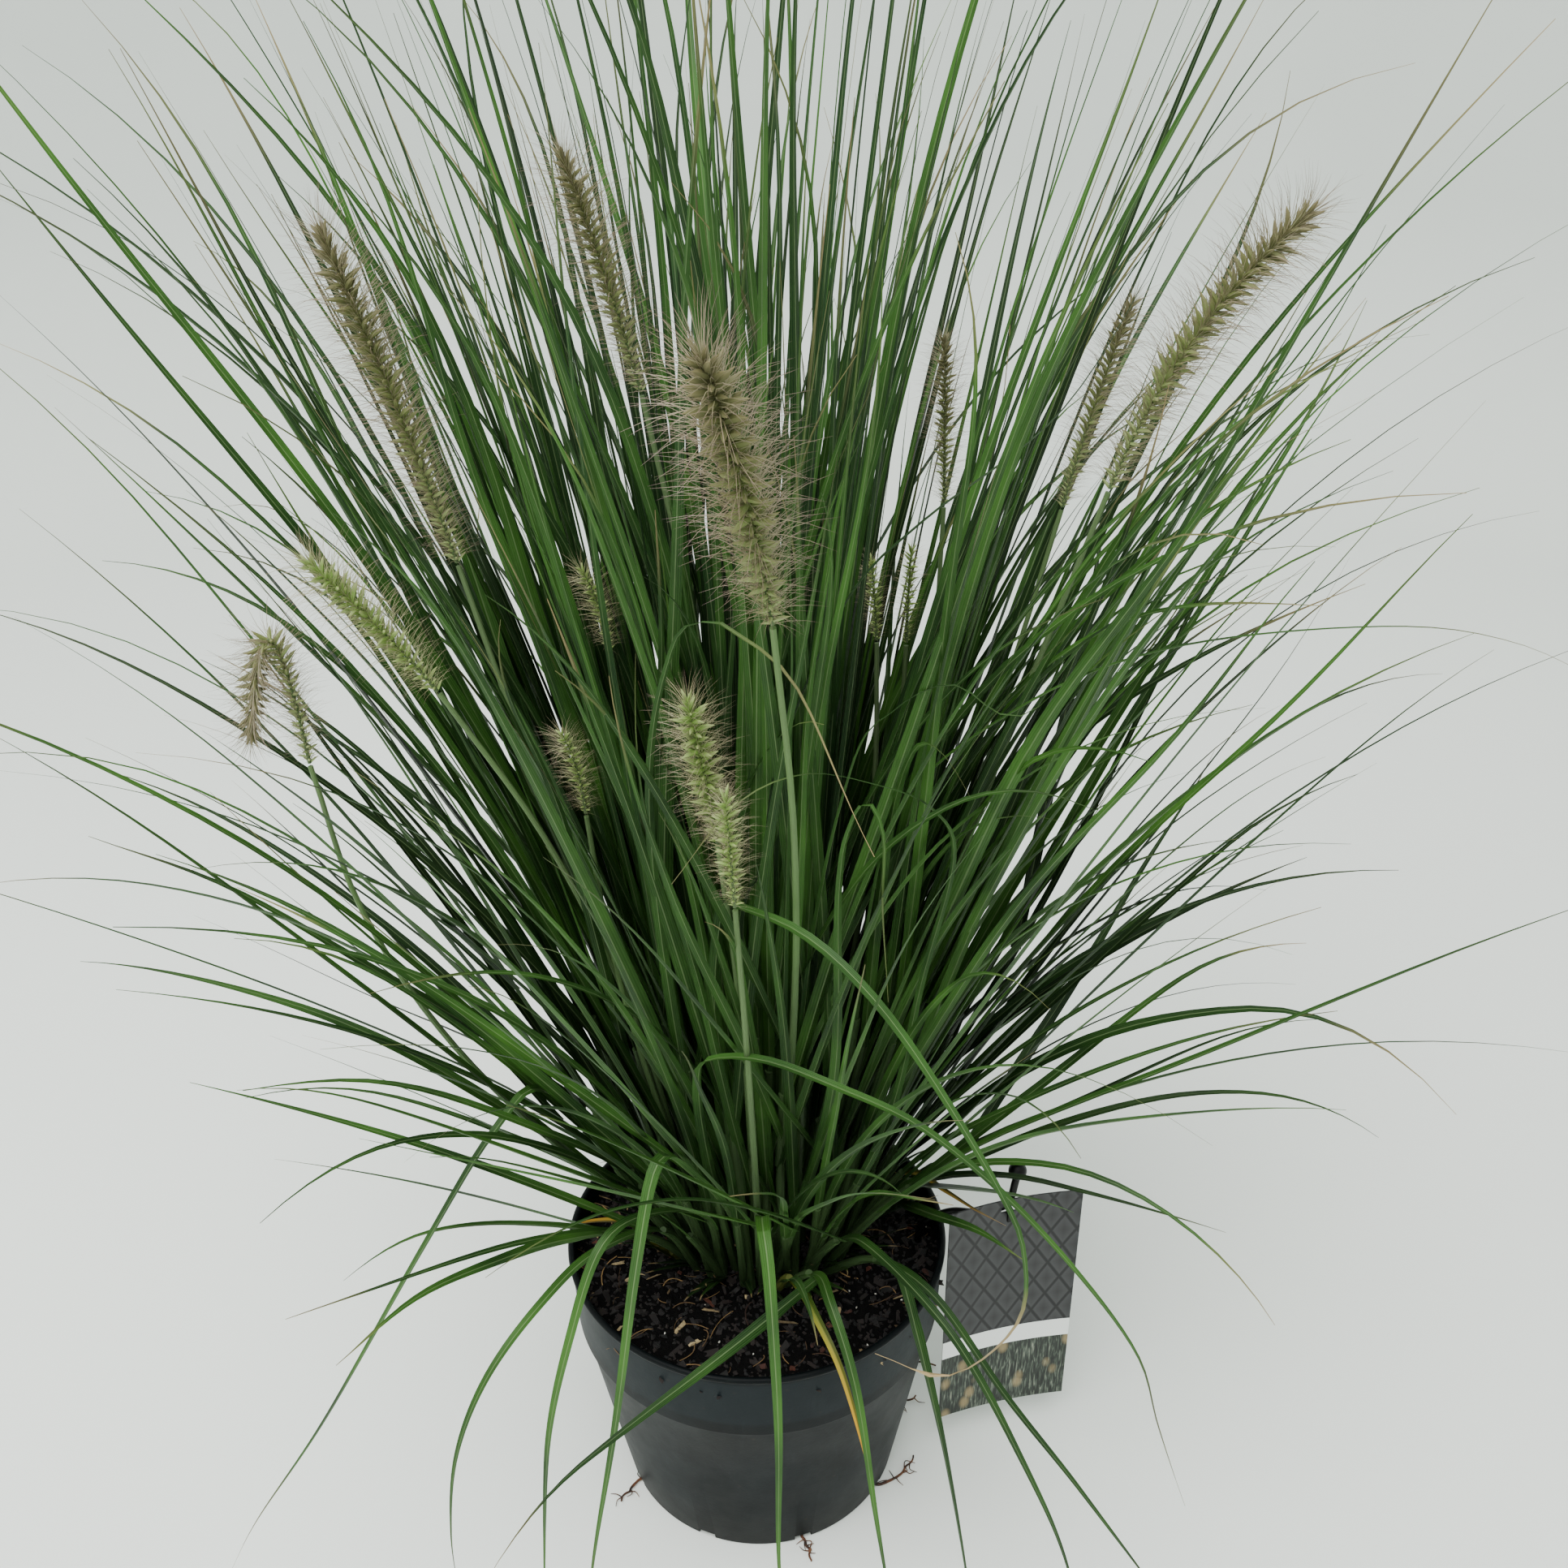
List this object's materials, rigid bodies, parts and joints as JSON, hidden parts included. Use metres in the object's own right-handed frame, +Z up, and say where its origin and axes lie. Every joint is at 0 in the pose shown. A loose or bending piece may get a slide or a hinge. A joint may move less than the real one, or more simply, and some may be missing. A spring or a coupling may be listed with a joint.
{
  "type": "potted fountain grass",
  "caption": "Clump of arching ornamental grass with bristly flower heads, in a tapered round nursery pot with a hanging plant label.",
  "frame": {"origin": "centre of the flat underside of the pot, on the surface that it stands on", "axes": "+Z up, -Y towards the front of the plant, with the label at +X"},
  "size_m": [0.6548, 0.561, 0.8053],
  "materials": {
    "pot_plastic": "moulded slate-grey polypropylene with a satin skin, dusty scuffs and soil specks",
    "potting_soil": null,
    "stake_plastic": "black moulded plastic",
    "label_card": "thin printed plastic card: dark grey diamond quilting, a white band and a plain grassy pattern",
    "grass_leaf": null,
    "flower_head": null,
    "young_flower_head": null,
    "dry_root": "dry rust-brown root"
  },
  "bodies": {
    "root": {"pot": "pot_plastic", "soil": "potting_soil", "label_stake": "stake_plastic", "label_card": "label_card", "leaf_bunch_front": "grass_leaf", "leaf_bunch_front_right": "grass_leaf", "leaf_bunch_right": "grass_leaf", "leaf_bunch_right_back": "grass_leaf", "leaf_bunch_back_right": "grass_leaf", "leaf_bunch_back": "grass_leaf", "leaf_bunch_back_left": "grass_leaf", "leaf_bunch_left_back": "grass_leaf", "leaf_bunch_left": "grass_leaf", "leaf_bunch_front_left": "grass_leaf", "flower_head_left_tall": "flower_head", "flower_head_top": "flower_head", "flower_head_centre": "flower_head", "flower_head_right_tall": "flower_head", "flower_head_right_inner": "flower_head", "flower_head_back_right": "flower_head", "flower_head_left_nodding": "flower_head", "flower_head_left_young": "young_flower_head", "flower_head_small_upper": "young_flower_head", "flower_head_small_left": "young_flower_head", "flower_head_front_dense": "young_flower_head", "flower_head_front_small": "young_flower_head", "flower_head_small_right": "young_flower_head", "flower_head_small_back": "young_flower_head", "drain_root_left": "dry_root", "drain_root_front": "dry_root", "drain_root_right_front": "dry_root", "drain_root_right": "dry_root", "drain_root_right_back": "dry_root"}
  },
  "joints": []
}
